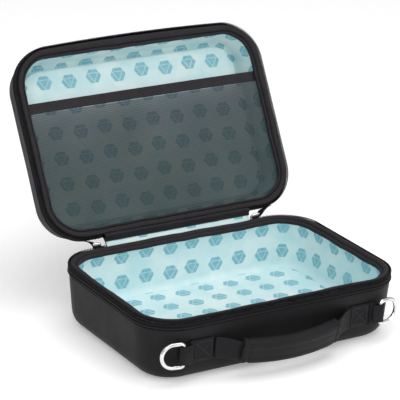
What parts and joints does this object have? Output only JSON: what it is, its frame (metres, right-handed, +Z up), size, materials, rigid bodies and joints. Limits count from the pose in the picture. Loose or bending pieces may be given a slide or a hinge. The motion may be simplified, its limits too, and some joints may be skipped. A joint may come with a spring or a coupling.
{
  "type": "carry case",
  "caption": "Semi-rigid zip-around carry case, open, with a lined base, a mesh lid pocket, a webbing handle and rings for a shoulder strap.",
  "frame": {"origin": "centre of the base's flat bottom face, where the case stands", "axes": "+Z up, the handle and rings face -Y, the hinge is along X on the +Y side"},
  "size_m": [0.3004, 0.3667, 0.2586],
  "materials": {
    "cover": "smooth matte black coated fabric",
    "foam": "moulded closed-cell foam",
    "lining": "pale aqua printed knit",
    "tape": "charcoal woven tape",
    "zip_chain": "black nylon coil",
    "mesh": "dark stretch mesh",
    "webbing": "black woven webbing",
    "metal": "polished nickel plate"
  },
  "bodies": {
    "base": {"base_cover": "cover", "base_foam_shell": "foam", "base_floor_pad": "foam", "base_lining": "lining", "base_zip_tape": "tape", "base_zip_chain": "zip_chain", "base_binding": "tape", "hinge_cover": "cover", "hinge_lining": "lining", "zip_stop_left": "metal", "zip_stop_right": "metal", "handle_patch_left": "webbing", "handle_patch_right": "webbing", "dring_loop_left": "webbing", "dring_loop_right": "webbing"},
    "lid": {"lid_cover": "cover", "lid_foam_shell": "foam", "lid_lining": "lining", "lid_zip_tape": "tape", "lid_zip_chain": "zip_chain", "lid_binding": "tape", "pocket_mesh": "mesh", "pocket_band": "tape"},
    "handle": {"handle_webbing": "webbing", "handle_grip_cover": "cover", "handle_grip_foam": "foam"},
    "dring_left": {"dring_left": "metal"},
    "dring_right": {"dring_right": "metal"},
    "slider_left": {"zip_slider_left": "metal"},
    "slider_right": {"zip_slider_right": "metal"},
    "pull_left": {"zip_pull_left": "metal"},
    "pull_right": {"zip_pull_right": "metal"}
  },
  "joints": [
    {"name": "lid_hinge", "type": "hinge", "parent": "base", "child": "lid", "pos_m": [0, 0.10641, 0.07438], "axis": [-1, 0, 0], "range_deg": [-119.8, 50]},
    {"name": "handle_swing", "type": "hinge", "parent": "base", "child": "handle", "pos_m": [0, -0.10231, 0.033], "axis": [-1, 0, 0], "range_deg": [-14, 41], "stiffness_Nm_per_rad": 0.006, "springref_deg": 10, "deforming": ["handle_webbing"]},
    {"name": "dring_left_swing", "type": "hinge", "parent": "base", "child": "dring_left", "pos_m": [-0.1162, -0.10536, 0.033], "axis": [0, 0, 1], "range_deg": [-17, 113]},
    {"name": "dring_right_swing", "type": "hinge", "parent": "base", "child": "dring_right", "pos_m": [0.1162, -0.10536, 0.033], "axis": [0, 0, -1], "range_deg": [-17, 113]},
    {"name": "slider_left_travel", "type": "hinge", "parent": "base", "child": "slider_left", "pos_m": [-0.107, 0.06065, 0.0693], "axis": [0, 0, 1], "range_deg": [0, 90]},
    {"name": "slider_right_travel", "type": "hinge", "parent": "base", "child": "slider_right", "pos_m": [0.107, 0.06065, 0.0693], "axis": [0, 0, -1], "range_deg": [0, 90]},
    {"name": "pull_left_swing", "type": "hinge", "parent": "slider_left", "child": "pull_left", "pos_m": [-0.0948, 0.10425, 0.0673], "axis": [0, 1, 0], "range_deg": [-80, 50]},
    {"name": "pull_right_swing", "type": "hinge", "parent": "slider_right", "child": "pull_right", "pos_m": [0.0948, 0.10425, 0.0673], "axis": [0, 1, 0], "range_deg": [-50, 80]}
  ]
}
